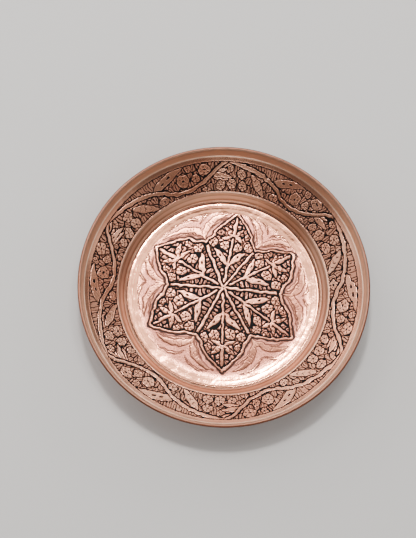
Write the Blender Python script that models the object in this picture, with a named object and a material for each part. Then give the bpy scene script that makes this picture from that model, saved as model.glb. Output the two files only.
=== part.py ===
"""A round engraved copper tray: one raised sheet whose edge is rolled over a wire.

Units are metres and +Z is up. The origin is at the centre of the flat underside, where the tray
stands. The sheet is drawn as its middle line, from the centre out to the rolled edge, and gets its
thickness by offsetting that line to both sides. The engraving is a surface finish and isn't here.
"""
import math

import bmesh
import bpy
from mathutils import Matrix, Vector

MM = 0.001

# Driving dimensions
OUTSIDE_RADIUS = 127.0 * MM      # over the rolled edge
SHEET = 0.7 * MM                 # thickness of the copper sheet
WIRE_RADIUS = 0.5 * MM           # wire inside the rolled edge
WIRE_CLEARANCE = 0.3 * MM        # room between the wire and the sheet round it
WIRE_END_GAP = 1.5 * MM          # the wire's two ends don't quite meet
BEAD_CENTRE_HEIGHT = 32.2 * MM   # middle of the rolled edge above the table
FLOOR_FLAT_RADIUS = 80.5 * MM    # the flat floor ends here and a shallow cove begins
COVE = (86.9 * MM, 1.55 * MM)    # radius and height where the cove meets the well wall
SHOULDER = (92.7 * MM, 9.1 * MM)     # top of the well wall, where the sloping border begins
RIM_FOOT_HEIGHT = 23.9 * MM      # where the border turns up into the rim
RIM_SLOPE = math.radians(77.0)   # the rim leans out a little

# Bend radii of the middle line
FLOOR_BEND = 30.0 * MM
COVE_BEND = 2.0 * MM
SHOULDER_BEND = 2.2 * MM
RIM_BEND = 2.0 * MM

# Resolution
AROUND = 64                      # steps round the tray
BEND_STEPS = 3                   # straight runs in each bend
CURL_STEPS = 9                   # straight runs round the wire
WIRE_SIDES = 8

CURL_SLIT = 0.35 * MM            # opening left between the curl's end and the rim
WHOLE_TURN = 2.0 * math.pi


def bead_radii():
    """Return the rolled edge's inner, middle and outer radius."""
    inner = WIRE_RADIUS + WIRE_CLEARANCE
    return inner, inner + SHEET / 2, inner + SHEET


def bend(before, corner, after, radius, steps):
    """Round a corner of a line: points on the arc that touches both its sides."""
    back = (before - corner).normalized()
    ahead = (after - corner).normalized()
    half = back.angle(ahead) / 2
    reach = radius / math.tan(half)
    centre = corner + (back + ahead).normalized() * (radius / math.sin(half))
    start = corner + back * reach - centre
    sweep = (corner + ahead * reach - centre).angle_signed(start)
    return [centre + Matrix.Rotation(sweep * i / steps, 2) @ start for i in range(steps + 1)]


def middle_line():
    """The sheet's middle line in the (radius, height) plane, from the centre to the curl's end."""
    _, bead, outer = bead_radii()
    bead_centre = Vector((OUTSIDE_RADIUS - outer, BEAD_CENTRE_HEIGHT))
    curl_start = Vector((-math.sin(RIM_SLOPE), math.cos(RIM_SLOPE))) * bead
    rim_top = bead_centre + curl_start
    rise = rim_top.y - RIM_FOOT_HEIGHT
    rim_foot = Vector((rim_top.x - rise / math.tan(RIM_SLOPE), RIM_FOOT_HEIGHT))

    corners = [
        (Vector((0.0, SHEET / 2)), 0.0),
        (Vector((FLOOR_FLAT_RADIUS, SHEET / 2)), FLOOR_BEND),
        (Vector(COVE), COVE_BEND),
        (Vector(SHOULDER), SHOULDER_BEND),
        (rim_foot, RIM_BEND),
        (rim_top, 0.0),
    ]
    line = [corners[0][0]]
    for (before, _), (corner, radius), (after, _) in zip(corners, corners[1:], corners[2:]):
        line += bend(before, corner, after, radius, BEND_STEPS)

    # The curl stops where its end face would come within the slit of the rim's back.
    clear = math.acos((bead - SHEET / 2 - CURL_SLIT) / outer)
    sweep = WHOLE_TURN - clear
    for i in range(CURL_STEPS + 1):
        turn = Matrix.Rotation(-sweep * i / CURL_STEPS, 2)
        line.append(bead_centre + turn @ curl_start)
    return line


def offset(line, distance):
    """Move a line sideways, to its left, by mitring each of its points."""
    moved = []
    for i, point in enumerate(line):
        runs = []
        if i > 0:
            runs.append((point - line[i - 1]).normalized())
        if i < len(line) - 1:
            runs.append((line[i + 1] - point).normalized())
        sides = [Vector((-run.y, run.x)) for run in runs]
        mitre = sum(sides, Vector((0.0, 0.0))).normalized()
        moved.append(point + mitre * (distance / mitre.dot(sides[0])))
    return moved


def material(name, colour, roughness):
    """A plain metal."""
    metal = bpy.data.materials.new(name)
    metal.use_nodes = True
    shader = metal.node_tree.nodes["Principled BSDF"]
    shader.inputs["Base Color"].default_value = (*colour, 1.0)
    shader.inputs["Metallic"].default_value = 1.0
    shader.inputs["Roughness"].default_value = roughness
    return metal


def add_object(name, mesh, metal):
    """Put a mesh in the scene under its part's name."""
    mesh.materials.append(metal)
    part = bpy.data.objects.new(name, mesh)
    bpy.context.collection.objects.link(part)
    return part


def make_tray_body(metal):
    """The sheet: both its faces as one closed outline, turned about the axis."""
    line = middle_line()
    inside = offset(line, SHEET / 2)
    outside = offset(line, -SHEET / 2)
    outline = inside + outside[::-1]

    bm = bmesh.new()
    verts = [bm.verts.new((point.x, 0.0, point.y)) for point in outline]
    for first, second in zip(verts, verts[1:]):
        bm.edges.new((first, second))
    mesh = bpy.data.meshes.new("tray_body")
    bm.to_mesh(mesh)
    bm.free()

    body = add_object("tray_body", mesh, metal)
    turn = body.modifiers.new("turn", "SCREW")
    turn.axis = "Z"
    turn.angle = WHOLE_TURN
    turn.steps = AROUND
    turn.render_steps = AROUND
    turn.use_merge_vertices = True
    turn.merge_threshold = 0.00001
    turn.use_smooth_shade = True
    return body


def make_rim_wire(metal):
    """The wire: a round section spun almost all the way round, and closed at both ends."""
    centre_radius = OUTSIDE_RADIUS - bead_radii()[2]
    bm = bmesh.new()
    section = bmesh.ops.create_circle(bm, segments=WIRE_SIDES, radius=WIRE_RADIUS)
    bmesh.ops.rotate(bm, verts=section["verts"], matrix=Matrix.Rotation(math.pi / 2, 3, "X"))
    bmesh.ops.translate(bm, verts=section["verts"], vec=(centre_radius, 0.0, BEAD_CENTRE_HEIGHT))
    bmesh.ops.spin(
        bm,
        geom=bm.verts[:] + bm.edges[:],
        cent=(0.0, 0.0, 0.0),
        axis=(0.0, 0.0, 1.0),
        angle=WHOLE_TURN - WIRE_END_GAP / centre_radius,
        steps=AROUND,
    )
    bmesh.ops.holes_fill(bm, edges=bm.edges[:], sides=WIRE_SIDES)
    bmesh.ops.recalc_face_normals(bm, faces=bm.faces[:])
    mesh = bpy.data.meshes.new("rim_wire")
    bm.to_mesh(mesh)
    bm.free()
    mesh.shade_smooth()
    mesh.set_sharp_from_angle(angle=math.radians(50))
    return add_object("rim_wire", mesh, metal)


for old in list(bpy.data.objects):
    bpy.data.objects.remove(old)

make_tray_body(material("copper_sheet", (0.72, 0.36, 0.24), 0.28))
make_rim_wire(material("steel_wire", (0.42, 0.41, 0.40), 0.45))
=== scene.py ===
# %% [markdown]
# # An engraved copper tray
#
# The tray is one raised sheet of copper with its edge rolled over a wire. A chaser has pressed and
# cut a six-lobed leaf into the floor and a running vine into the sloping border, then blackened
# the lines and polished the high places again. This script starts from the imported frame, which
# fixes every size, and makes the sheet again with its relief and its finish.

import math

import bmesh
import bpy
import numpy as np
from mathutils import Matrix, Vector


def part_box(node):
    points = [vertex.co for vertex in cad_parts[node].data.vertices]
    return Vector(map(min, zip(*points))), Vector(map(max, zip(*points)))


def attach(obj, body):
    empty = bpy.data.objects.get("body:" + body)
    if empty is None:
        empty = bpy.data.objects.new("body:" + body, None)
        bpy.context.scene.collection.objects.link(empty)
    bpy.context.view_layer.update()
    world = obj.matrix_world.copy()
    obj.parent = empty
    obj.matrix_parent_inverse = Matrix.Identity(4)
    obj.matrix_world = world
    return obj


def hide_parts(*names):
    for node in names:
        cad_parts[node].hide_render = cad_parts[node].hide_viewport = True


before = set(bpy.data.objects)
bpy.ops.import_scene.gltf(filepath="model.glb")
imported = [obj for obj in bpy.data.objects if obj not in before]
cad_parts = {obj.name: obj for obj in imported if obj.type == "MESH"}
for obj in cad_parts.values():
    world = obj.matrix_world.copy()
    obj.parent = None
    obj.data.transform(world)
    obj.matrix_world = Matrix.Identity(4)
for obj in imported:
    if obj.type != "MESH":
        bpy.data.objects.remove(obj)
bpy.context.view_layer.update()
print("nodes:", sorted(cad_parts))

# %% [markdown]
# Blender works in metres, but a metalworker thinks in millimetres. One constant turns the drawing's
# sizes into Blender's. The outside radius and the rolled edge's height come from the frame, so the
# new mesh can't drift away from it. The rolled edge is the wire with the sheet and a little room
# round it.

# %% Main sizes
MM = 0.001
low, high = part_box("tray_body")
OUTSIDE_RADIUS = (high[0] - low[0]) / 2 / MM
wire_low, wire_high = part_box("rim_wire")
BEAD_HEIGHT = (wire_low[2] + wire_high[2]) / 2 / MM
WIRE_RADIUS = (wire_high[2] - wire_low[2]) / 2 / MM
BEAD_OUTER = OUTSIDE_RADIUS - wire_high[0] / MM + WIRE_RADIUS
SHEET = 0.7
print(f"radius {OUTSIDE_RADIUS:.1f} mm, sheet {SHEET} mm")
print(f"rolled edge {2 * BEAD_OUTER:.1f} mm thick at {BEAD_HEIGHT:.1f} mm")

# %% [markdown]
# The camera looks steeply down, as one looks at a tray on a table, with the tray turned a little
# clockwise in the view. A long lens from far away keeps the circles nearly free of perspective.
# The shift slides the tray right and down in the picture without turning the camera.

# %% Camera
CAMERA_DISTANCE = 1.524
CAMERA_FROM_VERTICAL = math.radians(16.7)
CAMERA_ROLL = math.radians(5.7)
LENS = 117.6
PICTURE_SHIFT = (-0.030, 0.028)
target = Vector((0.0, 0.0, BEAD_HEIGHT * MM))
away = Vector((0.0, -math.sin(CAMERA_FROM_VERTICAL), math.cos(CAMERA_FROM_VERTICAL)))
camera = bpy.data.objects.new("camera", bpy.data.cameras.new("camera"))
bpy.context.collection.objects.link(camera)
camera.location = target + away * CAMERA_DISTANCE
look = (target - camera.location).to_track_quat("-Z", "Y").to_matrix()
camera.rotation_euler = (look @ Matrix.Rotation(CAMERA_ROLL, 3, "Z")).to_euler()
camera.data.lens = LENS
camera.data.shift_x, camera.data.shift_y = PICTURE_SHIFT
bpy.context.scene.camera = camera
print("camera at", [round(c, 3) for c in camera.location])

# %% [markdown]
# A plain pale floor carries the tray. It is a big flat grid with a dull white finish, so that it
# takes a soft shadow and puts nothing of its own in the picture.

# %% Floor
STAGE_REACH = 3.0
STAGE_GAP = 0.0001
STAGE_COLOUR = (0.62, 0.61, 0.60, 1.0)

floor_mesh = bpy.data.meshes.new("floor")
bm = bmesh.new()
bmesh.ops.create_grid(bm, x_segments=1, y_segments=1, size=STAGE_REACH)
bm.to_mesh(floor_mesh)
bm.free()
floor = bpy.data.objects.new("floor", floor_mesh)
bpy.context.collection.objects.link(floor)
floor.location.z = -STAGE_GAP
floor_paint = bpy.data.materials.new("pale_floor")
floor_paint.use_nodes = True
paint = floor_paint.node_tree.nodes["Principled BSDF"]
paint.inputs["Base Color"].default_value = STAGE_COLOUR
paint.inputs["Roughness"].default_value = 0.85
floor_mesh.materials.append(floor_paint)
print("floor laid")

# %% [markdown]
# Polished metal shows what is round it, so the lights are shapes that the tray reflects and not
# only sources of light. Soft boxes stand in two rings round the table: the low ring is what the
# steep wall and the far side of the border show, and the upper ring is what the near side shows. A
# ceiling of boxes gives the floor its sheen and the polished ring its bright arcs, and one small
# bright box puts the glint on the polished ring. The strength of each box is given as its
# radiance, so that a box can change size without changing how bright it looks.

# %% Lights
LAMP_COLOUR = (1.0, 0.98, 0.96)
ROOM_COLOUR = (0.80, 0.76, 0.73, 1.0)
ROOM_STRENGTH = 0.25


def soft_box(name, place, size, radiance):
    """A rectangular panel that faces the tray."""
    lamp = bpy.data.lights.new(name, "AREA")
    lamp.shape = "RECTANGLE"
    lamp.size, lamp.size_y = size
    lamp.energy = math.pi * size[0] * size[1] * radiance
    lamp.color = LAMP_COLOUR
    holder = bpy.data.objects.new(name, lamp)
    bpy.context.collection.objects.link(holder)
    holder.location = place
    holder.rotation_euler = (-Vector(place)).to_track_quat("-Z", "Y").to_euler()


RING_RADIUS = 1.5
# direction of each box in degrees, and its radiance
LOW_RING = ((0, 1.0), (45, 3.4), (90, 2.3), (135, 3.8), (180, 3.8), (270, 0.5), (315, 1.1))
UPPER_RING = ((0, 1.1), (135, 3.6), (180, 1.3), (270, 3.2))
RINGS = (("low", 0.55, (1.2, 0.5), LOW_RING), ("upper", 1.5, (1.0, 0.6), UPPER_RING))
for label, height, size, ring in RINGS:
    for degrees, radiance in ring:
        x = RING_RADIUS * math.cos(math.radians(degrees))
        y = RING_RADIUS * math.sin(math.radians(degrees))
        soft_box(f"{label}_{degrees}", (x, y, height), size, radiance)
soft_box("ceiling_back", (0.02, 1.18, 2.4), (0.90, 0.46), 14.0)
soft_box("ceiling_right", (0.42, 0.73, 2.4), (0.34, 0.28), 22.0)
soft_box("ceiling_middle", (-0.06, 0.70, 2.4), (0.46, 0.30), 1.6)
soft_box("ceiling_left", (-0.86, 1.10, 2.4), (0.30, 0.60), 5.0)
soft_box("ceiling_front", (0.29, 0.20, 2.4), (0.30, 0.30), 5.0)
soft_box("glint", (-0.20, 0.89, 2.3), (0.28, 0.18), 190.0)
world = bpy.data.worlds.new("room")
bpy.context.scene.world = world
world.use_nodes = True
world.node_tree.nodes["Background"].inputs["Color"].default_value = ROOM_COLOUR
world.node_tree.nodes["Background"].inputs["Strength"].default_value = ROOM_STRENGTH

# %% [markdown]
# ## The sheet's section
#
# Every ring of the tray comes from one line in the plane of radius and height: flat floor, a
# polished ring that rises very slightly, shallow cove, steep wall, sloping border, upright rim, and
# the curl round the wire. It is drawn as straight runs and each corner is then rounded with an arc
# that touches both sides, which is how sheet bends over a stake.

# %% Corners of the middle line
# radius and height of each corner, in mm
FLOOR_END = (73.5, SHEET / 2)
RING_END = (84.4, 1.02)
COVE = (86.9, 1.55)
SHOULDER = (92.7, 9.1)
RIM_FOOT_HEIGHT = 23.9
RIM_SLOPE = math.radians(77.0)
# radius of the arc at each corner, from the floor's end to the rim's foot
BENDS = (50.0, 9.0, 2.0, 2.2, 2.0)
# the curl stops this far from the rim's inside
CURL_SLIT = 0.35


def rounded(before, corner, after, radius, steps):
    """Points on the arc that replaces a corner."""
    back = (before - corner).normalized()
    ahead = (after - corner).normalized()
    half = back.angle(ahead) / 2
    centre = corner + (back + ahead).normalized() * (radius / math.sin(half))
    start = corner + back * (radius / math.tan(half)) - centre
    end = corner + ahead * (radius / math.tan(half)) - centre
    sweep = end.angle_signed(start)
    return [centre + Matrix.Rotation(sweep * i / steps, 2) @ start for i in range(steps + 1)]


def middle_line(bend_steps, curl_steps):
    """The sheet's middle line from its centre to the end of the curl."""
    bead = BEAD_OUTER - SHEET / 2
    bead_centre = Vector((OUTSIDE_RADIUS - BEAD_OUTER, BEAD_HEIGHT))
    curl_start = Vector((-math.sin(RIM_SLOPE), math.cos(RIM_SLOPE))) * bead
    rim_top = bead_centre + curl_start
    rim_foot_x = rim_top.x - (rim_top.y - RIM_FOOT_HEIGHT) / math.tan(RIM_SLOPE)
    corners = [Vector((0.0, SHEET / 2)), Vector(FLOOR_END), Vector(RING_END), Vector(COVE)]
    corners += [Vector(SHOULDER), Vector((rim_foot_x, RIM_FOOT_HEIGHT)), rim_top]
    line = [corners[0]]
    for before, corner, after, radius in zip(corners, corners[1:], corners[2:], BENDS):
        line += rounded(before, corner, after, radius, bend_steps)
    sweep = 2 * math.pi - math.acos((bead - SHEET / 2 - CURL_SLIT) / BEAD_OUTER)
    for i in range(curl_steps + 1):
        line.append(bead_centre + Matrix.Rotation(-sweep * i / curl_steps, 2) @ curl_start)
    return line


def offset(line, distance):
    """The same line moved to its left, with mitred corners."""
    moved = []
    for i, point in enumerate(line):
        runs = []
        if i > 0:
            runs.append((point - line[i - 1]).normalized())
        if i < len(line) - 1:
            runs.append((line[i + 1] - point).normalized())
        sides = [Vector((-run.y, run.x)) for run in runs]
        mitre = sum(sides, Vector((0.0, 0.0))).normalized()
        moved.append(point + mitre * (distance / mitre.dot(sides[0])))
    return moved


section = middle_line(bend_steps=10, curl_steps=22)
top_line = offset(section, SHEET / 2)
under_line = offset(section, -SHEET / 2)
print(len(section), "points along the sheet")

# %% [markdown]
# The floor's leaf and the border's vine need far more vertices than the plain rings, so those two
# areas are finer inlays, each set into a shallow recess of the shell. The recesses' edges are
# radii in mm. `height_at` reads the top face's height at any radius, for which the curl has to be
# left out, because it folds back over the rim.

# %% Where the engraved areas lie
FLOOR_EDGE = 76.0
BORDER_INNER = 93.4
BORDER_OUTER = 118.4
flange = [p for p in top_line if p.x < OUTSIDE_RADIUS - 2.5 * BEAD_OUTER]
flange_r = np.array([p.x for p in flange])
flange_z = np.array([p.y for p in flange])


def height_at(radius):
    """Height of the sheet's top face, in mm."""
    return np.interp(radius, flange_r, flange_z)


border_rise = height_at(BORDER_OUTER) - height_at(BORDER_INNER)
slope = math.atan2(border_rise, BORDER_OUTER - BORDER_INNER)
print(f"the border slopes at {math.degrees(slope):.1f} degrees")

# %% [markdown]
# ## The chaser's tools
#
# Engraving could be modelled stroke by stroke with Boolean cuts, but thousands of cuts would be
# slow and fragile. Here each area of sheet is a dense set of points, and a tool is a function that
# moves them. Every point keeps two numbers: how far it is pressed down, and how much black is left
# on it. The tools are used in order, as on the bench: the ground first, then the leaves, then the
# stems that lie over them.

# %% A piece of sheet on the bench
# depths, and how far the tools' edges spread, in mm
GROUND_DEPTH = 0.30
LINE_DEPTH = 0.18
SOFT = 0.17
ROLLED_DEPTH = 0.07
ROLLED_WIDTH = 0.5
BROWN_EDGE = 0.20
CUT_EDGE = 0.12
# how far a copy of a motif may lie off its place in mm, its usual turn in radians, and the spare
# sheet round it in mm
MOST_DRIFT = 1.2
TWIST = 0.10
SPARE = 1.5


def fade(low, high, value):
    """0 below low, 1 above high, and a smooth step between."""
    t = np.clip((value - low) / (high - low), 0.0, 1.0)
    return t * t * (3 - 2 * t)


def hand_wobble(x, y, seed, size=0.42, shortest=2.6, longest=14.0, waves=12, usual_sum=2.1):
    """A slow random drift of the tool, in mm, as a sum of waves in many directions."""
    random = np.random.default_rng(seed)
    total = np.zeros_like(x)
    for length in np.geomspace(shortest, longest, waves):
        angle, phase = random.uniform(0, 2 * math.pi, 2)
        along = x * math.cos(angle) + y * math.sin(angle)
        total += (length / longest) ** 0.6 * np.sin(2 * math.pi * along / length + phase)
    return total * size / usual_sum


class Sheet:
    """Points on the drawing's plane in mm, with their depth and their black.

    The drawing is used for several copies. Either every point says which copy it lies in, or the
    drawing repeats along x after a length.
    """

    def __init__(self, x, y, copies, copy=None, repeat=None):
        self.x, self.y = x, y
        self.copies, self.copy, self.repeat = copies, copy, repeat
        self.depth = np.zeros(x.size)
        self.ink = np.zeros(x.size)
        self.random = np.random.default_rng(11)

    def around(self, x0, y0, turn, reach, wobble=0.5):
        """Points near a place, in coordinates along and across a direction. Each copy is a bit off."""
        drift = self.random.normal(0.0, wobble, (2, self.copies)).clip(-MOST_DRIFT, MOST_DRIFT)
        twist = self.random.normal(0.0, TWIST * min(wobble * 2, 1.0), self.copies)
        near = np.abs(self.y - y0) < reach + SPARE
        if self.repeat is None:
            near &= np.abs(self.x - x0) < reach + SPARE
            index = np.flatnonzero(near)
            owner = self.copy[index]
            dx = self.x[index] - x0
        else:
            shift = np.floor((self.x - x0) / self.repeat + 0.5)
            dx = self.x - x0 - shift * self.repeat
            near &= np.abs(dx) < reach + SPARE
            index = np.flatnonzero(near)
            owner = shift[index].astype(int) % self.copies
            dx = dx[index]
        dx = dx - drift[0][owner]
        dy = self.y[index] - y0 - drift[1][owner]
        angle = turn + twist[owner]
        along = dx * np.cos(angle) + dy * np.sin(angle)
        across = dy * np.cos(angle) - dx * np.sin(angle)
        return index, along, across

    def blacken(self, index, amount, depth):
        """Leave black in a place and press it down."""
        self.ink[index] = np.maximum(self.ink[index], amount)
        self.depth[index] = np.maximum(self.depth[index], depth * amount)

    def emboss(self, index, distance, margin, level=0.0, shade=0.0):
        """Leave a shape standing, with a black line of the margin's width round it."""
        if margin:
            self.blacken(index, fade(margin + SOFT, margin - SOFT, distance), GROUND_DEPTH)
        body = fade(SOFT, -SOFT, distance)
        rolled_edge = ROLLED_DEPTH * np.exp(np.minimum(distance, 0.0) / ROLLED_WIDTH)
        self.depth[index] = self.depth[index] * (1 - body) + (level + rolled_edge) * body
        self.ink[index] = self.ink[index] * (1 - body) + shade * body

    def score(self, index, distance, half_width, amount=1.0):
        """Cut a thin line, with a brown edge where the polish hasn't reached."""
        line = fade(half_width + BROWN_EDGE, half_width - CUT_EDGE, distance) * amount
        self.ink[index] = np.maximum(self.ink[index], line)
        self.depth[index] = np.maximum(self.depth[index], LINE_DEPTH * line)


print("tools ready")

# %% [markdown]
# A few motifs make up the whole pattern: the almond leaf with pits or cuts in it, the round rosette
# with strokes between its petals, the stem, and beds of small hatched cells that fill the gaps.
# Cells that crowd each other meet halfway between their middles, as in a Voronoi pattern, so a bed
# only needs its middles.

# %% Leaf and rosette
STROKE = 0.34


def leaf(sheet, x0, y0, x1, y1, width, bend=0.0, margin=1.0, cuts=0, pits=(), wobble=0.5, belly=0.8):
    """An almond leaf from its foot to its tip. Bend pushes its middle sideways."""
    length = math.hypot(x1 - x0, y1 - y0)
    turn = math.atan2(y1 - y0, x1 - x0)
    middle = ((x0 + x1) / 2, (y0 + y1) / 2)
    index, along, across = sheet.around(*middle, turn, length / 2 + width, wobble)
    t = np.clip(along / length + 0.5, 0.0, 1.0)
    across = across - bend * 4 * t * (1 - t)
    half = width / 2 * np.sin(math.pi * t ** belly) ** 0.75
    distance = np.maximum(np.abs(across) - half, np.abs(along) - length / 2)
    sheet.emboss(index, distance, margin)
    for place in pits:
        gap = np.hypot((along - (place - 0.5) * length) / 1.8, across)
        sheet.score(index, gap, 0.12 * width)
    if cuts:
        pitch = length * 0.6 / cuts
        phase = (along + np.abs(across) * 0.9) / pitch + 0.5 * (cuts % 2 == 0)
        stroke = np.abs(phase - np.floor(phase + 0.5)) * pitch
        inside = (np.abs(across) < half * 0.60) & (np.abs(along) < length * 0.30)
        sheet.score(index[inside], stroke[inside], STROKE)


def rosette(sheet, x0, y0, rx, ry, turn=0.0, margin=1.0, petals=6):
    """A round leaf: an oval with petals, dark strokes between them, and a pit."""
    index, along, across = sheet.around(x0, y0, turn, max(rx, ry) + margin)
    angle = np.arctan2(across / ry, along / rx)
    radius = np.hypot(along / rx, across / ry)
    size = (rx + ry) / 2
    distance = (radius - 1 - 0.05 * np.cos(petals * angle)) * size
    sheet.emboss(index, distance, margin)
    turns = angle * petals / (2 * math.pi)
    stroke = np.abs(turns - np.floor(turns) - 0.5) * 2 * math.pi * radius * size / petals
    ring = (radius > 0.42) & (radius < 0.80)
    sheet.score(index[ring], stroke[ring], STROKE)
    sheet.score(index, np.hypot(along / 1.4, across * 1.2), 0.20 * size)


print("motifs: leaf, rosette")

# %% [markdown]
# A bed keeps, for every point, the distances to its nearest and its second nearest middle. Half
# their difference is how far the point lies from the wall between two cells.

# %% Bed of cells
CELL_REACH = 7.0
CELL_STROKE = 0.30
FAR = 40.0


def bed(sheet, middles, gap=0.6, pitch=2.1, squash=1.0, shade=0.14, wobble=0.7):
    """Crowded cells round a list of middles, each with strokes in its own direction."""
    nearest = np.full(sheet.x.size, FAR)
    second = nearest.copy()
    stroke = nearest.copy()
    for x0, y0, turn in middles:
        index, along, across = sheet.around(x0, y0, 0.0, CELL_REACH, wobble)
        away = np.hypot(along, across * squash)
        phase = (along * math.cos(turn) + across * math.sin(turn)) / pitch + 0.5
        mark = np.abs(phase - np.floor(phase) - 0.5) * pitch
        closer = away < nearest[index]
        second[index] = np.where(closer, nearest[index], np.minimum(second[index], away))
        stroke[index] = np.where(closer, mark, stroke[index])
        nearest[index] = np.where(closer, away, nearest[index])
    filled = np.flatnonzero(nearest < FAR)
    wall = (second[filled] - nearest[filled]) / 2
    sheet.emboss(filled, gap - wall, 0.0, level=0.03, shade=shade)
    inside = wall > gap + 0.45
    sheet.score(filled[inside], stroke[filled][inside], CELL_STROKE)


print("motif: bed")

# %% [markdown]
# A stem is everything that lies near a line. The line is a Catmull-Rom curve, which passes through
# the points that were chosen for it, so it can be drawn by saying where it should go.

# %% Lines and stems
def along_line(points, x, y):
    """Distance to a bent line and how far along it, from 0 to 1, for many places at once."""
    best = np.full(x.size, 1e9)
    place = np.zeros(x.size)
    count = len(points) - 1
    for i, ((ax, ay), (bx, by)) in enumerate(zip(points, points[1:])):
        span = (bx - ax) ** 2 + (by - ay) ** 2
        t = np.clip(((x - ax) * (bx - ax) + (y - ay) * (by - ay)) / span, 0, 1)
        gap = np.hypot(x - ax - t * (bx - ax), y - ay - t * (by - ay))
        closer = gap < best
        best[closer] = gap[closer]
        place[closer] = (i + t[closer]) / count
    return best, place


def smooth_line(points, steps=6):
    """A Catmull-Rom curve through given points."""
    ends = [points[0]] + list(points) + [points[-1]]
    curve = []
    for a, b, c, d in zip(ends, ends[1:], ends[2:], ends[3:]):
        for i in range(steps):
            t = i / steps
            weights = (
                (-t + 2 * t ** 2 - t ** 3) / 2,
                (2 - 5 * t ** 2 + 3 * t ** 3) / 2,
                (t + 4 * t ** 2 - 3 * t ** 3) / 2,
                (t ** 3 - t ** 2) / 2,
            )
            curve.append(tuple(sum(w * p[k] for w, p in zip(weights, (a, b, c, d))) for k in (0, 1)))
    curve.append(tuple(points[-1]))
    return curve


def stem(sheet, points, half_start, half_end, margin):
    """A smooth raised stem with a black line on each side."""
    xs, ys = zip(*points)
    middle = ((min(xs) + max(xs)) / 2, (min(ys) + max(ys)) / 2)
    reach = max(max(xs) - min(xs), max(ys) - min(ys)) / 2 + 3
    index, x, y = sheet.around(*middle, 0.0, reach, wobble=0.0)
    gap, place = along_line([(a - middle[0], b - middle[1]) for a, b in points], x, y)
    distance = gap - (half_start + (half_end - half_start) * place)
    sheet.emboss(index, distance, margin)


print("motif: stem")

# %% [markdown]
# ## The floor's six-lobed leaf
#
# The leaf was drawn by hand, so its lobes differ: each has its own direction and length, and its
# middle lies a little off the tray's. One half of one lobe is drawn once, in a straight frame
# with the lobe's vein along x. Every point of the floor is then carried into that frame by the two
# edges of the half lobe it lies in, so twelve halves come out alike but fitted to their places.

# %% The points of the floor
HUB = (-0.5, 6.2)
LOBES = [
    # direction and length of the tip, then of the notch after it, in degrees and mm from the hub
    (-31.7, 76.0, -0.7, 50.4),
    (31.7, 70.5, 56.1, 44.5),
    (84.2, 70.0, 115.5, 44.8),
    (153.6, 70.3, 182.2, 49.0),
    (214.1, 73.8, 246.5, 49.2),
    (274.5, 76.5, 303.7, 50.3),
]
HALVES = 2 * len(LOBES)
# the half lobe as drawn: its tip on the x axis, and its notch
TIP = 73.0
NOTCH = (40.7, 23.5)
# how far each half swells out between notch and tip
SWELL = (0.0, 1.2, -1.0, 0.2, -0.6, 2.6, -0.6, 0.2, -1.2, 0.4, 0.4, -0.8)
SWELL_START = 40.0
SWELL_BREADTH = 12.0
FLOOR_CELLS = 560

square = np.linspace(-1.0, 1.0, FLOOR_CELLS + 1)
square_x, square_y = np.meshgrid(square, square)
floor_x = FLOOR_EDGE * square_x * np.sqrt(1 - square_y ** 2 / 2)
floor_y = FLOOR_EDGE * square_y * np.sqrt(1 - square_x ** 2 / 2)


def half_lobe_frame(x, y):
    """Carry places on the floor into the drawing of the half lobe that they lie in."""
    rays = []
    for tip_turn, tip_length, notch_turn, notch_length in LOBES:
        rays.append((math.radians(tip_turn), tip_length))
        rays.append((math.radians(notch_turn), notch_length))
    dx, dy = x - HUB[0], y - HUB[1]
    first = rays[0][0]
    turn = (np.arctan2(dy, dx) - first) % (2 * math.pi)
    starts = np.array([ray[0] - first for ray in rays])
    half = np.searchsorted(starts, turn, side="right") - 1
    along, across = np.zeros_like(x), np.zeros_like(x)
    for k in range(HALVES):
        here = half == k
        tip, notch = rays[k], rays[(k + 1) % HALVES]
        if k % 2 == 1:
            tip, notch = notch, tip
        tx, ty = tip[1] * math.cos(tip[0]), tip[1] * math.sin(tip[0])
        nx, ny = notch[1] * math.cos(notch[0]), notch[1] * math.sin(notch[0])
        flat = tx * ny - ty * nx
        a = (dx[here] * ny - dy[here] * nx) / flat
        b = (tx * dy[here] - ty * dx[here]) / flat
        along[here] = TIP * a + NOTCH[0] * b
        across[here] = NOTCH[1] * b
        shoulder = np.sin(math.pi * np.clip((along[here] - SWELL_START) / (TIP - SWELL_START), 0.0, 1.0))
        across[here] -= SWELL[k] * shoulder * np.clip(across[here] / SWELL_BREADTH, 0.0, 1.0)
    return along, across, half


drawn_x = (floor_x + hand_wobble(floor_x, floor_y, seed=1)).ravel()
drawn_y = (floor_y + hand_wobble(floor_x, floor_y, seed=2)).ravel()
lobe_u, lobe_w, lobe_half = half_lobe_frame(drawn_x, drawn_y)
print(floor_x.size, "points on the floor")

# %% [markdown]
# Inside the leaf the ground is black and the shapes stand bright. The shapes of one half lobe are
# given in the order in which they overlap: the beds of cells first, then rosettes, side leaf and
# palmette. The veins, the ribs between the lobes and the outline come last.

# %% The leaf's outline
OUTLINE = smooth_line([
    (40.7, 23.3), (44.2, 21.8), (46.7, 19.5), (49.2, 17.9), (52.6, 17.3), (56.6, 15.3), (62.2, 10.6),
    (68.2, 4.7), (TIP, 0.0),
])


def inside_leaf(u, w):
    """Distance inside the half lobe's outline, in mm, negative outside."""
    edge_u = np.array([p[0] for p in OUTLINE])
    edge_w = np.array([p[1] for p in OUTLINE])
    # short of the notch everything is inside, past the tip everything is outside
    limit = np.interp(u, edge_u, edge_w, left=FAR, right=-1.0)
    gap, _ = along_line(OUTLINE, u, w)
    return np.where(w < limit, gap, -gap)


floor_work = Sheet(lobe_u, lobe_w, HALVES, copy=lobe_half)
inner = inside_leaf(lobe_u, lobe_w)
print(f"the leaf covers {np.mean(inner > 0):.0%} of the floor")

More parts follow.
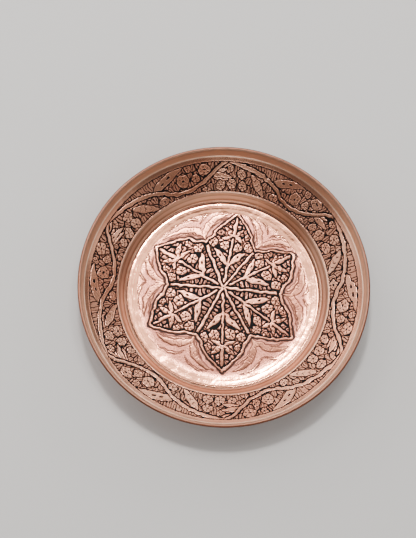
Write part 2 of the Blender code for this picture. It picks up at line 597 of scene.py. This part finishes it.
# %% The leaf's inside
# middles of the cells in mm, beside the rib and then elsewhere with the turn of their strokes
LADDER = [
    (5.5, 1.4), (9.0, 2.4), (12.6, 3.6), (16.2, 4.4), (19.6, 5.8), (22.8, 8.2), (25.8, 10.4),
    (28.8, 12.4), (31.6, 14.6), (34.4, 16.8), (37.4, 19.2),
]
LOBE_CELLS = [
    (26.5, 2.0, 0.3), (31.0, 4.2, 0.3), (34.5, 2.0, 0.3), (46.5, 3.0, 0.0), (47.5, 13.6, 0.4),
    (41.0, 1.6, 0.0), (54.6, 4.6, -0.4), (57.0, 12.6, -0.6), (60.6, 3.6, -0.5), (61.2, 8.2, -0.6),
    (65.4, 4.0, -0.6),
]


def work_leaf(sheet):
    """Black ground, beds of cells, rosettes, side leaf and palmette."""
    sheet.ink[:] = 1.0
    sheet.depth[:] = GROUND_DEPTH
    bed(sheet, [(u, w, 0.5) for u, w in LADDER] + LOBE_CELLS, wobble=0.45, gap=0.7)
    rosette(sheet, 40.2, 7.0, 4.4, 4.2, 0.3)
    rosette(sheet, 42.4, 16.2, 4.3, 3.8, 0.2)
    rosette(sheet, 52.2, 13.2, 3.1, 2.9, 0.0, petals=5, margin=0.9)
    leaf(sheet, 22.0, 0.0, 36.6, 15.6, 5.6, bend=-0.6, pits=(0.56,), wobble=0.3)
    leaf(sheet, 51.4, 0.0, 46.2, 10.4, 3.4, bend=0.3, wobble=0.25, margin=0.9)
    leaf(sheet, 50.4, 0.3, 58.2, 10.2, 4.2, bend=-0.6, cuts=2, wobble=0.25, margin=0.9)


work_leaf(floor_work)
print("one half lobe drawn, and fitted to all twelve")

# %% [markdown]
# Between the lobes the floor carries low, pale sprays on a finely punched ground. No black was
# rubbed into them: their lines and the ground beside the leaf are only browner than the rest.

# %% The sprays
PALE_INK = 0.44
PALE_DEPTH = 0.24
outer = np.flatnonzero(inner < 0)
punch = np.random.default_rng(5).random(lobe_u.size)


def work_sprays(sheet):
    """A stem from the notch that parts into two broad curved leaves."""
    beside = fade(6.0, 1.0, -inner[outer])
    sheet.ink[outer] = 0.13 + 0.15 * beside + 0.27 * punch[outer]
    sheet.depth[outer] = 0.09 + 0.07 * punch[outer]
    pale = {"margin": 0.6, "belly": 0.62}
    stem(sheet, [(40.7, 23.3), (44.0, 25.4), (48.0, 27.0)], 0.8, 1.3, margin=0.6)
    leaf(sheet, 48.4, 24.6, 68.5, 9.6, 1.8, bend=2.8, **pale)
    leaf(sheet, 45.5, 26.2, 73.0, 8.6, 5.6, bend=5.4, **pale)
    leaf(sheet, 58.0, 32.0, 74.0, 15.5, 1.3, bend=3.6, **pale)
    for u, w in ((57.2, 24.9), (59.4, 23.4), (61.6, 21.7)):
        index, along, across = sheet.around(u, w, 1.0, 3.0)
        tick = np.hypot(across, np.maximum(np.abs(along) - 1.1, 0.0))
        sheet.score(index, tick, 0.22, 0.45)
    stem(sheet, [(42.0, 24.2), (44.6, 25.7), (50.0, 27.6)], 0.7, 1.4, margin=0.0)
    sheet.ink[outer] = np.minimum(sheet.ink[outer], PALE_INK)
    sheet.depth[outer] = np.minimum(sheet.depth[outer], PALE_DEPTH)


work_sprays(floor_work)
print("sprays worked")

# %% [markdown]
# The vein ends in a slim leaf and carries three short stems for the shapes beside it. The rib to
# the notch and the outline lie over everything. Their black line is kept thin on the outside by
# thinning whatever lies beyond it to brown, and the hub gets a round pit where the veins meet.

# %% Veins, ribs and outline
MOST_BROWN = 0.55
HUB_PIT = 0.7

stem(floor_work, [(2.5, 0.0), (24.0, 0.0), (51.0, 0.0)], 1.15, 0.85, margin=1.3)
leaf(floor_work, 49.5, 0.0, 72.0, 0.0, 3.2, wobble=0.0)
stem(floor_work, [(21.0, 0.0), (27.5, 4.4)], 0.8, 0.9, margin=0.0)
stem(floor_work, [(50.6, 0.0), (52.6, 2.8)], 1.0, 0.8, margin=0.0)
stem(floor_work, [(51.2, 0.0), (49.6, 3.2)], 1.0, 0.8, margin=0.0)
stem(floor_work, [(0.0, 0.0), NOTCH], 1.0, 1.25, margin=1.35)
stem(floor_work, OUTLINE, 1.0, 0.95, margin=1.35)
outside = fade(-1.0, -1.3, inner)
floor_work.ink -= outside * np.maximum(floor_work.ink - MOST_BROWN, 0.0)
middle = np.flatnonzero(lobe_u < 4.0)
floor_work.score(middle, np.hypot(lobe_u[middle], lobe_w[middle]), HUB_PIT)
print(f"floor: {np.mean(floor_work.ink > 0.6):.0%} black")

# %% [markdown]
# ## The border's vine
#
# The border is unrolled into a strip: x runs round the tray and y runs down the slope. One vine
# wave is drawn and repeated six times. The waves aren't quite equal, because they were spaced by
# eye, so each one is stretched between its own two peaks.

# %% The points of the border
# directions of the vine's outer peaks, in degrees
PEAKS = [39.8, 94.5, 156.8, 217.5, 277.0, 336.0]
WAVE_COUNT = len(PEAKS)
# the drawn wave's length, and the radii of the band's edges, in mm
WAVE = 110.0
BAND_OUTER = 117.5
BAND_INNER = 93.9
BAND_DEPTH = (BAND_OUTER - BAND_INNER) / math.cos(slope)
AROUND_CELLS = 2160
DOWN_CELLS = 92
FIRST_TURN = 0.02

turn = np.linspace(0.0, 360.0, AROUND_CELLS, endpoint=False) + FIRST_TURN
peak_turns = np.array(PEAKS + [PEAKS[0] + 360.0])
unrolled = np.interp((turn - PEAKS[0]) % 360.0 + PEAKS[0], peak_turns, np.arange(WAVE_COUNT + 1)) * WAVE
border_r = np.linspace(BORDER_OUTER, BORDER_INNER, DOWN_CELLS + 1)
strip_y, strip_x = np.meshgrid((BAND_OUTER - border_r) / math.cos(slope), unrolled)
turn_grid, radius_grid = np.meshgrid(np.radians(turn), border_r, indexing="ij")
flat_x, flat_y = radius_grid * np.cos(turn_grid), radius_grid * np.sin(turn_grid)
drawn_strip_x = (strip_x + hand_wobble(flat_x, flat_y, seed=3)).ravel()
drawn_strip_y = (strip_y + hand_wobble(flat_x, flat_y, seed=4)).ravel()
border_work = Sheet(drawn_strip_x, drawn_strip_y, WAVE_COUNT, repeat=WAVE)
print(strip_x.size, "points on the border")

# %% [markdown]
# A place in the wave is given as degrees from its peak and as a share of the band's depth. First a
# loose bed of small cells fills the band, then the leaves and rosettes overlap it, and the vine
# comes last.

# %% The wave's leaves and rosettes
# middle of each rosette, and its two radii in mm
ROSETTES = (
    ((10.2, 0.20), 5.2, 4.4),
    ((16.6, 0.12), 3.6, 2.6),
    ((14.2, 0.49), 3.4, 3.4),
    ((20.4, 0.50), 5.2, 5.4),
    ((51.4, 0.42), 4.2, 3.9),
    ((50.6, 0.79), 4.6, 4.3),
    ((56.6, 0.78), 4.6, 4.4),
    ((2.6, 0.82), 4.2, 3.4),
    ((9.6, 0.93), 4.2, 2.2),
    ((57.6, 0.22), 3.6, 3.2),
    ((31.5, 0.84), 4.6, 3.0),
)
# foot and tip of each leaf, its width and bend in mm, its number of cuts, and its pits
LEAVES = (
    ((35.5, 0.47), (18.6, 0.02), 7.6, 0.6, 0, (0.36, 0.56)),
    ((46.5, 0.34), (36.6, 1.0), 6.6, -0.5, 3, ()),
    ((6.6, 0.47), (-0.6, 0.30), 4.0, 0.0, 0, ()),
    ((6.6, 0.47), (-1.6, 0.62), 4.0, 0.0, 0, ()),
    ((7.2, 0.46), (-3.4, 0.46), 4.6, 0.0, 0, (0.35,)),
    ((3.6, 0.20), (-2.6, 0.10), 3.4, 0.0, 0, ()),
)
VINE = (
    (-1.5, -0.03), (2.6, 0.15), (6.6, 0.44), (11.0, 0.68), (16.0, 0.82), (21.5, 0.87), (27.0, 0.77),
    (32.0, 0.55), (38.0, 0.37), (45.0, 0.22), (52.0, 0.10), (58.5, -0.03),
)
print("one wave:", len(ROSETTES), "rosettes and", len(LEAVES), "leaves")

# %% Work the border
CELL_ROWS = 4
ROW_CELLS = 20
HATCHED_CELLS = 11


def in_wave(degrees, share):
    """A place in the strip, in mm."""
    return degrees * WAVE_COUNT / 360.0 * WAVE, share * BAND_DEPTH


def work_border(sheet):
    """Black ground, beds of cells, then rosettes, leaves and the vine."""
    sheet.ink[:] = 1.0
    sheet.depth[:] = GROUND_DEPTH
    middles = []
    for row in range(CELL_ROWS):
        for i in range(ROW_CELLS):
            x = (i + 0.5 * (row % 2)) * WAVE / ROW_CELLS
            middles.append((x, (row + 0.5) * BAND_DEPTH / CELL_ROWS, 0.3 * math.sin(i * 2.1 + row)))
    bed(sheet, middles, pitch=2.0, squash=0.8, gap=0.45)
    hatched = [(*in_wave(28.0 + 2.4 * i, 0.10 + 0.02 * (i % 2)), 0.1) for i in range(HATCHED_CELLS)]
    bed(sheet, hatched, pitch=2.2, squash=0.45, gap=0.5, wobble=0.3)
    for middle, rx, ry in ROSETTES:
        rosette(sheet, *in_wave(*middle), rx, ry, turn=0.3 * middle[0])
    for foot, tip, width, bend, cuts, pits in LEAVES:
        leaf(sheet, *in_wave(*foot), *in_wave(*tip), width, bend=bend, cuts=cuts, pits=pits)
    stem(sheet, [in_wave(*p) for p in smooth_line(VINE, steps=4)], 1.2, 1.6, margin=1.3)


work_border(border_work)
print(f"border: {np.mean(border_work.ink > 0.6):.0%} black")

# %% [markdown]
# A black line runs along each edge of the band. Beyond it the sheet stays plain, and the line's
# outer side is a little ragged where the tool slipped.

# %% The band's edges
edge_noise = 0.35 * np.sin(strip_x * 0.9) + 0.3 * np.sin(strip_x * 2.3 + 1.0)
edge_noise += 0.2 * np.sin(strip_x * 4.1)
from_edge = np.minimum(strip_y, BAND_DEPTH - strip_y).ravel()
edge_line = fade(0.75, 0.35, np.abs(from_edge - 0.1)) * 0.9
border_work.blacken(np.arange(strip_x.size), edge_line, LINE_DEPTH)
in_band = fade(-0.45, -0.15, from_edge + 0.5 * edge_noise.ravel())
border_work.ink *= in_band
border_work.depth *= in_band
print(f"border trimmed: {np.mean(border_work.ink > 0.6):.0%} black")

# %% [markdown]
# ## From drawing to sheet
#
# Sheet worked by hand is never quite flat. A sum of a few long, low waves moves every point of the
# top face by a few hundredths of a millimetre, which is enough to bend the reflections.

# %% Hand-beaten unevenness
# waves per unit along x and y, phase, and height in mm
SLOW_WAVES = (
    (0.031, 0.012, 0.3, 0.045),
    (-0.021, 0.043, 1.7, 0.03),
    (0.067, -0.052, 0.6, 0.02),
    (0.094, 0.081, 2.2, 0.015),
    (-0.150, 0.110, 4.0, 0.010),
    (0.060, 0.210, 5.1, 0.008),
)
WAVE_UNIT = 2.2


def beaten(x, y):
    """Height of the slow waves in the sheet, in mm."""
    total = np.zeros_like(x)
    for fx, fy, phase, height in SLOW_WAVES:
        total += height * np.sin(2 * math.pi * (fx * x + fy * y) / WAVE_UNIT + phase)
    return total


floor_z = height_at(np.hypot(floor_x, floor_y)) + beaten(floor_x, floor_y)
floor_z -= floor_work.depth.reshape(floor_x.shape)
floor_points = np.stack([floor_x, floor_y, floor_z], axis=-1)

press = border_work.depth.reshape(radius_grid.shape)
worked_r = radius_grid + press * math.sin(slope)
border_x, border_y = worked_r * np.cos(turn_grid), worked_r * np.sin(turn_grid)
border_z = height_at(radius_grid) - press * math.cos(slope) + beaten(border_x, border_y)
border_points = np.stack([border_x, border_y, border_z], axis=-1)
print("floor relief", round(float(np.ptp(floor_z)), 2), "mm")

# %% [markdown]
# The relief is cut into pieces that a viewer can handle: four quarters of the floor and six
# sectors of the border. Each starts as a grid, takes its points from the worked sheet, and gets a
# skirt and a back so that it is a closed slab that fills its recess. Neighbours share the same
# normals along their joint, so no seam shows.

# %% Slabs
# thickness of an inlay, and the room under it, in mm
SLAB = 0.49
SLAB_ROOM = 0.01


def grid_normals(points, closed):
    """Unit normals of a grid of points, from the differences between neighbours."""
    if closed:
        first = np.roll(points, -1, axis=0) - np.roll(points, 1, axis=0)
    else:
        first = np.gradient(points, axis=0)
    normal = np.cross(first, np.gradient(points, axis=1))
    normal /= np.linalg.norm(normal, axis=-1, keepdims=True)
    return normal * np.sign(normal[..., 2:])


def add_piece(name, mesh):
    """Put a finished mesh in the scene and let it ride on the tray."""
    piece = bpy.data.objects.new(name, mesh)
    bpy.context.collection.objects.link(piece)
    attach(piece, "root")
    return piece


def slab(name, points, normals, ink, down, bridged):
    """A closed slab whose top face is a grid of worked points."""
    rows, columns = points.shape[:2]
    bm = bmesh.new()
    bmesh.ops.create_grid(bm, x_segments=columns - 1, y_segments=rows - 1, size=1.0)
    places = points.reshape(-1, 3) * MM
    for vert, place in zip(bm.verts, places):
        vert.co = place
    rim = [edge for edge in bm.edges if edge.is_boundary]
    skirt = bmesh.ops.extrude_edge_only(bm, edges=rim)["geom"]
    low_verts = [item for item in skirt if isinstance(item, bmesh.types.BMVert)]
    for vert in low_verts:
        vert.co = down(vert.co)
    low_edges = [edge for edge in bm.edges if edge.is_boundary]
    if bridged:
        ends = [edge for edge in low_edges if edge_is_radial(edge)]
        sides = [edge for edge in low_edges if edge not in set(ends)]
        bmesh.ops.bridge_loops(bm, edges=sides)
        bmesh.ops.holes_fill(bm, edges=[edge for edge in bm.edges if edge.is_boundary], sides=0)
    else:
        bmesh.ops.contextual_create(bm, geom=low_edges)
    bmesh.ops.recalc_face_normals(bm, faces=bm.faces[:])
    mesh = bpy.data.meshes.new(name)
    bm.to_mesh(mesh)
    bm.free()
    count = len(places)
    black = np.zeros(len(mesh.vertices), dtype=np.float32)
    black[:count] = ink.ravel()
    mesh.attributes.new("ink", "FLOAT", "POINT").data.foreach_set("value", black)
    shared = np.zeros((len(mesh.vertices), 3), dtype=np.float32)
    shared[:count] = normals.reshape(-1, 3)
    mesh.shade_smooth()
    mesh.normals_split_custom_set_from_vertices(shared.tolist())
    return add_piece(name, mesh)


def edge_is_radial(edge):
    """Whether an edge runs straight out from the axis."""
    a, b = (vert.co.xy for vert in edge.verts)
    return abs(a.angle_signed(b, 0.0)) < 1e-4


floor_normals = grid_normals(floor_points, closed=False)
floor_ink = floor_work.ink.reshape(floor_x.shape)
half = FLOOR_CELLS // 2


def floor_back(co):
    """The place under a floor point on the slab's flat back."""
    return co.x, co.y, (height_at(0.0) - SLAB) * MM


pieces = []
for k, (rows, columns) in enumerate(((0, 0), (0, half), (half, 0), (half, half))):
    area = (slice(rows, rows + half + 1), slice(columns, columns + half + 1))
    pieces.append(slab(f"floor_quarter_{k + 1}", floor_points[area], floor_normals[area],
                       floor_ink[area], floor_back, bridged=False))
print("floor:", [len(p.data.polygons) for p in pieces], "faces")

# %% [markdown]
# A sector of the border is a curved strip, so its back follows the slope. The loop of its lower
# edge is bridged from side to side, and the two open ends are then filled.

# %% The border's sectors
border_normals = grid_normals(border_points, closed=True)
border_ink = border_work.ink.reshape(radius_grid.shape)
SECTORS = 6
sector = AROUND_CELLS // SECTORS


def border_back(co):
    """The place under a border point on the slab's flat back."""
    radius = co.xy.length / MM
    sunk = (height_at(radius) - SLAB / math.cos(slope)) * MM
    return co.x, co.y, sunk


for k in range(SECTORS):
    index = np.arange(k * sector, (k + 1) * sector + 1) % AROUND_CELLS
    pieces.append(slab(f"border_sector_{k + 1}", border_points[index], border_normals[index],
                       border_ink[index], border_back, bridged=True))
print("border:", [len(p.data.polygons) for p in pieces[4:]], "faces")

# %% [markdown]
# ## The shell
#
# The rest of the sheet is turned: the polished rings at the foot of the wall, the wall, the plain
# strip below the rim, the rim with its curl, and the whole back. Its outline has the two recesses.
# The top is divided more finely than the back, because it has to follow the slow waves.

# %% The shell's outline
TOP_STEP = 0.9
UNDER_STEP = 2.5


def refined(line, step):
    """The same line with no run longer than a step."""
    finer = [line[0]]
    for a, b in zip(line, line[1:]):
        count = max(1, math.ceil((b - a).length / step))
        finer += [a.lerp(b, i / count) for i in range(1, count + 1)]
    return finer


def recessed(line):
    """The top line with the two recesses cut into it."""
    kept = [p for p in line if FLOOR_EDGE < p.x < BORDER_INNER or p.x > BORDER_OUTER]
    sunk = SLAB + SLAB_ROOM
    side = Vector((math.sin(slope), -math.cos(slope))) * sunk
    edge = Vector((FLOOR_EDGE, height_at(FLOOR_EDGE)))
    cut = [Vector((0.0, SHEET - sunk)), Vector((FLOOR_EDGE, SHEET - sunk)), edge]
    inner = Vector((BORDER_INNER, height_at(BORDER_INNER)))
    outer = Vector((BORDER_OUTER, height_at(BORDER_OUTER)))
    before = [p for p in kept if p.x < BORDER_INNER]
    after = [p for p in kept if p.x > BORDER_OUTER]
    return cut + before + [inner, inner + side, outer + side, outer] + after


fine_top = recessed(refined(top_line, TOP_STEP))
fine_under = refined(under_line, UNDER_STEP)
outline = fine_top + fine_under[::-1]
print(len(outline), "points in the shell's outline")

# %% [markdown]
# A spin of the outline makes the shell. Two shallow grooves mark where the turner's tool rested,
# one on the polished ring and one at its outer end. Each vertex also gets a number that says whether
# it faces down, so that the finish can make the underside and the rim's outside darker and rougher.
# On the rolled edge's outside that darker tone is painted shade.

# %% The turned shell
# radius and depth of each groove, in mm
GROOVES = ((79.3, 0.04), (84.2, 0.08))
GROOVE_WIDTH = 0.45
WAVES_END = (119.5, 122.5)
AROUND_SHELL = 360
SHARP_EDGE = math.radians(35)


def groove_depth(radius):
    """How far the grooves cut into the top face, in mm."""
    return sum(depth * math.exp(-((radius - place) / GROOVE_WIDTH) ** 2) for place, depth in GROOVES)


def turned_shell(name):
    """Spin the outline, close its poles, and give the top face the sheet's slow waves."""
    bm = bmesh.new()
    verts = [bm.verts.new((p.x * MM, 0.0, p.y * MM)) for p in outline]
    edges = [bm.edges.new(pair) for pair in zip(verts, verts[1:])]
    bmesh.ops.spin(bm, geom=verts + edges, cent=(0, 0, 0), axis=(0, 0, 1), angle=2 * math.pi,
                   steps=AROUND_SHELL, use_merge=True)
    bmesh.ops.remove_doubles(bm, verts=bm.verts[:], dist=1e-7)
    bmesh.ops.recalc_face_normals(bm, faces=bm.faces[:])
    for vert in bm.verts:
        radius = vert.co.xy.length / MM
        on_top = vert.co.z / MM > height_at(radius) - SHEET * 0.45
        if on_top and radius < WAVES_END[1]:
            wave = float(beaten(np.array([vert.co.x / MM]), np.array([vert.co.y / MM]))[0])
            vert.co.z += (wave * (1 - float(fade(*WAVES_END, radius))) - groove_depth(radius)) * MM
    bm.normal_update()
    facing_down = fade(0.05, -0.15, np.array([vert.normal.z for vert in bm.verts])).astype(np.float32)
    mesh = bpy.data.meshes.new(name)
    bm.to_mesh(mesh)
    bm.free()
    mesh.attributes.new("under", "FLOAT", "POINT").data.foreach_set("value", facing_down)
    mesh.shade_smooth()
    mesh.set_sharp_from_angle(angle=SHARP_EDGE)
    return add_piece(name, mesh)


shell = turned_shell("tray_shell")
pieces.append(shell)
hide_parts("tray_body")
print("shell:", len(shell.data.polygons), "faces")

# %% [markdown]
# ## The finish
#
# A node material is a tree of small steps. A few helpers keep the making of such a tree readable:
# one for a node with its settings, one for arithmetic, one for mixing colours, and ramps that turn
# a number into a colour or into a share from 0 to 1.

# %% Node helpers
def new_material(name):
    """A node material and its shader."""
    made = bpy.data.materials.new(name)
    made.use_nodes = True
    return made, made.node_tree, made.node_tree.nodes["Principled BSDF"]


def add_node(tree, kind, **settings):
    """A node with its properties and its unlinked inputs set by name."""
    node = tree.nodes.new(kind)
    for key, value in settings.items():
        if hasattr(node, key):
            setattr(node, key, value)
        else:
            node.inputs[key.replace("_", " ")].default_value = value
    return node


def mathed(tree, operation, first, second):
    """A Math node between two values or sockets."""
    node = tree.nodes.new("ShaderNodeMath")
    node.operation = operation
    for socket, value in zip(node.inputs, (first, second)):
        if isinstance(value, bpy.types.NodeSocket):
            tree.links.new(value, socket)
        else:
            socket.default_value = value
    return node.outputs[0]


def mixed(tree, share, first, second):
    """A colour mix of two sockets or colours. A Mix node's colours are its inputs 6 and 7."""
    node = tree.nodes.new("ShaderNodeMix")
    node.data_type = "RGBA"
    tree.links.new(share, node.inputs["Factor"])
    for socket, value in ((node.inputs[6], first), (node.inputs[7], second)):
        if isinstance(value, bpy.types.NodeSocket):
            tree.links.new(value, socket)
        else:
            socket.default_value = value
    return node.outputs[2]


def ramp(tree, source, stops):
    """A colour ramp over a value."""
    node = tree.nodes.new("ShaderNodeValToRGB")
    node.color_ramp.elements.remove(node.color_ramp.elements[1])
    node.color_ramp.elements[0].position = stops[0][0]
    node.color_ramp.elements[0].color = stops[0][1]
    for place, colour in stops[1:]:
        node.color_ramp.elements.new(place).color = colour
    tree.links.new(source, node.inputs[0])
    return node.outputs[0]


def mask(tree, source, low, high):
    """A share that goes from 0 to 1 while a value goes from low to high."""
    return ramp(tree, source, [(low, (0, 0, 0, 1)), (high, (1, 1, 1, 1))])


def axis_distance(tree, place):
    """The distance from the tray's axis, in metres."""
    flat = add_node(tree, "ShaderNodeVectorMath", operation="MULTIPLY")
    flat.inputs[1].default_value = (1.0, 1.0, 0.0)
    tree.links.new(place, flat.inputs[0])
    length = add_node(tree, "ShaderNodeVectorMath", operation="LENGTH")
    tree.links.new(flat.outputs["Vector"], length.inputs[0])
    return length.outputs["Value"]


def by_radius(tree, place, stops):
    """A value that changes with the distance from the tray's axis, from (mm, value) stops."""
    share = mathed(tree, "DIVIDE", axis_distance(tree, place), OUTSIDE_RADIUS * MM)
    return ramp(tree, share, [(mm / OUTSIDE_RADIUS, (value, value, value, 1)) for mm, value in stops])


print("node helpers ready")

# %% [markdown]
# One material serves the whole sheet, so the inlays and the shell match. It reads the black that
# was left on each point, and turns clean copper into brown and then into dull black. Clean copper
# is a bright tone with soft patches of a warmer one. What polishing did, and where light and shade
# are painted in, depends on the distance from the axis, so it is given as lists of stops. They say
# where the colour is pulled towards dark umber, which on the rolled edge is painted shade, and where
# the copper is rubbed fresh. They say where the wall and the rim are painted paler and more tan, as
# a painted highlight for the brighter light they reflect. They also say how rough the surface is
# and where a turner's fine streaks run round it. Brown and umber are treated as thin films over
# metal, so the surface stays metallic there. Only the black is not.

# %% Copper's colours
FRESH = (0.92, 0.385, 0.220, 1.0)
BRIGHT = (0.92, 0.460, 0.300, 1.0)
WARM = (0.70, 0.295, 0.180, 1.0)
# darker copper where the sheet faces down; on the rolled edge's outside it is painted shade
BACK = (0.62, 0.270, 0.175, 1.0)
BROWN = (0.30, 0.112, 0.080, 1.0)
BLACK = (0.004, 0.003, 0.003, 1.0)
# painted highlight tone: the wall and the rim are made paler and more tan for the brighter light they
# reflect
TAN = (0.94, 0.70, 0.52, 1.0)
# dark umber: for the turned streaks, the darker back, and the painted shade on the rolled edge
UMBER = (0.17, 0.064, 0.040, 1.0)
print("copper's colours, from fresh metal to black")

# %% What changes with the distance from the axis, as (mm, value)
# colour pulled towards umber over the floor, in thin bands at the cove, on the wall and in the plain
# strip; on the rolled edge this darkening is painted shade
UMBER_AND_SHADE = (
    (0.0, 0.82), (45.0, 0.85), (62.0, 0.96), (71.0, 0.94), (73.0, 0.60), (75.0, 0.08), (76.0, 0.0),
    (83.6, 0.0), (84.6, 0.6), (85.6, 0.6), (86.5, 0.05), (87.2, 0.1), (87.9, 0.75), (89.0, 0.0),
    (90.0, 0.0), (90.8, 0.5), (91.6, 0.1), (92.3, 0.3), (93.0, 0.0), (118.6, 0.0), (119.5, 0.25),
    (121.0, 0.0), (123.8, 0.0), (124.6, 0.8), (127.0, 1.0),
)
RUBBED = ((0.0, 0.1), (50.0, 0.3), (74.0, 0.55), (77.0, 0.8), (84.0, 0.8), (86.0, 0.0), (94.0, 0.0))
# painted highlight: the wall and the upright rim are made paler and more tan, standing in for the
# brighter light they reflect
PAINTED_HIGHLIGHT = (
    (86.0, 0.0), (88.0, 0.6), (92.0, 0.6), (93.4, 0.0), (120.5, 0.0), (122.5, 1.0), (124.6, 1.0),
    (125.4, 0.0),
)
ROUGHNESS = (
    (0.0, 0.24), (72.0, 0.19), (75.0, 0.07), (84.0, 0.07), (87.5, 0.28), (92.0, 0.28), (94.5, 0.24),
    (117.0, 0.24), (119.0, 0.18), (121.0, 0.20), (122.5, 0.48), (124.6, 0.48), (125.4, 0.40),
)
TURNED = (
    (0.0, 0.0), (74.0, 0.0), (77.0, 1.0), (92.5, 1.0), (94.0, 0.0), (117.5, 0.0), (118.5, 1.0),
    (121.5, 1.0), (122.5, 0.1), (125.0, 0.3),
)
print(len(UMBER_AND_SHADE), "stops of umber tone and painted shade and", len(ROUGHNESS), "of roughness")

# %% [markdown]
# The bumps are two: a very fine grain, and dents a few millimetres wide that break the reflections
# up as beaten copper does. Where black or brown lies, where the sheet faces down, and in the
# tarnished patches and streaks, the surface is also rougher.

# %% Copper
STREAK_STRENGTH = 0.42
BLACK_SHINE = 0.08
GRAIN_BUMP = {"Strength": 0.12, "Distance": 0.00006}
DENT_BUMP = {"Strength": 1.0, "Distance": 0.00010}


def copper_finish(name):
    """Polished copper with black in its lines."""
    made, tree, shader = new_material(name)
    place = add_node(tree, "ShaderNodeTexCoord").outputs["Object"]
    ink = add_node(tree, "ShaderNodeAttribute", attribute_name="ink").outputs["Fac"]
    under = add_node(tree, "ShaderNodeAttribute", attribute_name="under").outputs["Fac"]
    patches = add_node(tree, "ShaderNodeTexNoise", Scale=26.0, Detail=4.0, Roughness=0.55)
    grain = add_node(tree, "ShaderNodeTexNoise", Scale=900.0, Detail=2.0)
    dents = add_node(tree, "ShaderNodeTexNoise", Scale=170.0, Detail=3.0)
    for node in (patches, grain, dents):
        tree.links.new(place, node.inputs["Vector"])
    streaks = add_node(tree, "ShaderNodeTexNoise", noise_dimensions="1D", Scale=520.0, Detail=3.0)
    tree.links.new(axis_distance(tree, place), streaks.inputs["W"])
    soft_patches = mask(tree, patches.outputs["Fac"], 0.38, 0.66)
    clean = mixed(tree, soft_patches, BRIGHT, WARM)
    # the tan stops paint a highlight on the wall and the rim, and the umber stops paint shade on the
    # rolled edge
    for stops, tone in ((RUBBED, FRESH), (PAINTED_HIGHLIGHT, TAN), (UMBER_AND_SHADE, UMBER)):
        clean = mixed(tree, by_radius(tree, place, stops), clean, tone)
    lines = mask(tree, streaks.outputs["Fac"], 0.42, 0.68)
    lines = mathed(tree, "MULTIPLY", lines, by_radius(tree, place, TURNED))
    clean = mixed(tree, mathed(tree, "MULTIPLY", lines, STREAK_STRENGTH), clean, UMBER)
    # darker where the sheet faces down: the back takes a darker copper, and on the rolled edge's outside
    # this is painted shade
    clean = mixed(tree, under, clean, mixed(tree, soft_patches, BACK, UMBER))
    browned = mask(tree, ink, 0.0, 0.42)
    blackened = mask(tree, ink, 0.36, 0.58)
    colour = mixed(tree, blackened, mixed(tree, browned, clean, BROWN), BLACK)
    tree.links.new(colour, shader.inputs["Base Color"])
    tree.links.new(mathed(tree, "SUBTRACT", 1.0, blackened), shader.inputs["Metallic"])
    rough = by_radius(tree, place, ROUGHNESS)
    for source, more in ((soft_patches, 0.03), (lines, 0.05), (ink, 0.30), (under, 0.15)):
        rough = mathed(tree, "ADD", rough, mathed(tree, "MULTIPLY", source, more))
    tree.links.new(rough, shader.inputs["Roughness"])
    shader.inputs["Specular IOR Level"].default_value = BLACK_SHINE
    fine = add_node(tree, "ShaderNodeBump", **GRAIN_BUMP)
    tree.links.new(grain.outputs["Fac"], fine.inputs["Height"])
    coarse = add_node(tree, "ShaderNodeBump", **DENT_BUMP)
    tree.links.new(dents.outputs["Fac"], coarse.inputs["Height"])
    tree.links.new(fine.outputs["Normal"], coarse.inputs["Normal"])
    tree.links.new(coarse.outputs["Normal"], shader.inputs["Normal"])
    return made


copper = copper_finish("copper_sheet")
for piece in pieces:
    piece.data.materials.append(copper)
print("copper on", len(pieces), "pieces")

# %% [markdown]
# The wire inside the rolled edge can't be seen once the edge is closed, but it is part of the
# tray. It keeps the frame's own mesh. It is drawn steel: grey, a little rough, with fine marks.

# %% Wire
STEEL_DARK = (0.30, 0.29, 0.28, 1.0)
STEEL_LIGHT = (0.50, 0.49, 0.48, 1.0)


def wire_finish(name):
    """Drawn steel wire."""
    made, tree, shader = new_material(name)
    place = add_node(tree, "ShaderNodeTexCoord").outputs["Object"]
    marks = add_node(tree, "ShaderNodeTexNoise", Scale=600.0, Detail=3.0)
    tree.links.new(place, marks.inputs["Vector"])
    tone = ramp(tree, marks.outputs["Fac"], [(0.3, STEEL_DARK), (0.7, STEEL_LIGHT)])
    tree.links.new(tone, shader.inputs["Base Color"])
    shader.inputs["Metallic"].default_value = 1.0
    shader.inputs["Roughness"].default_value = 0.42
    return made


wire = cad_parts["rim_wire"]
wire.data.materials.clear()
wire.data.materials.append(wire_finish("steel_wire"))
print("wire finished")
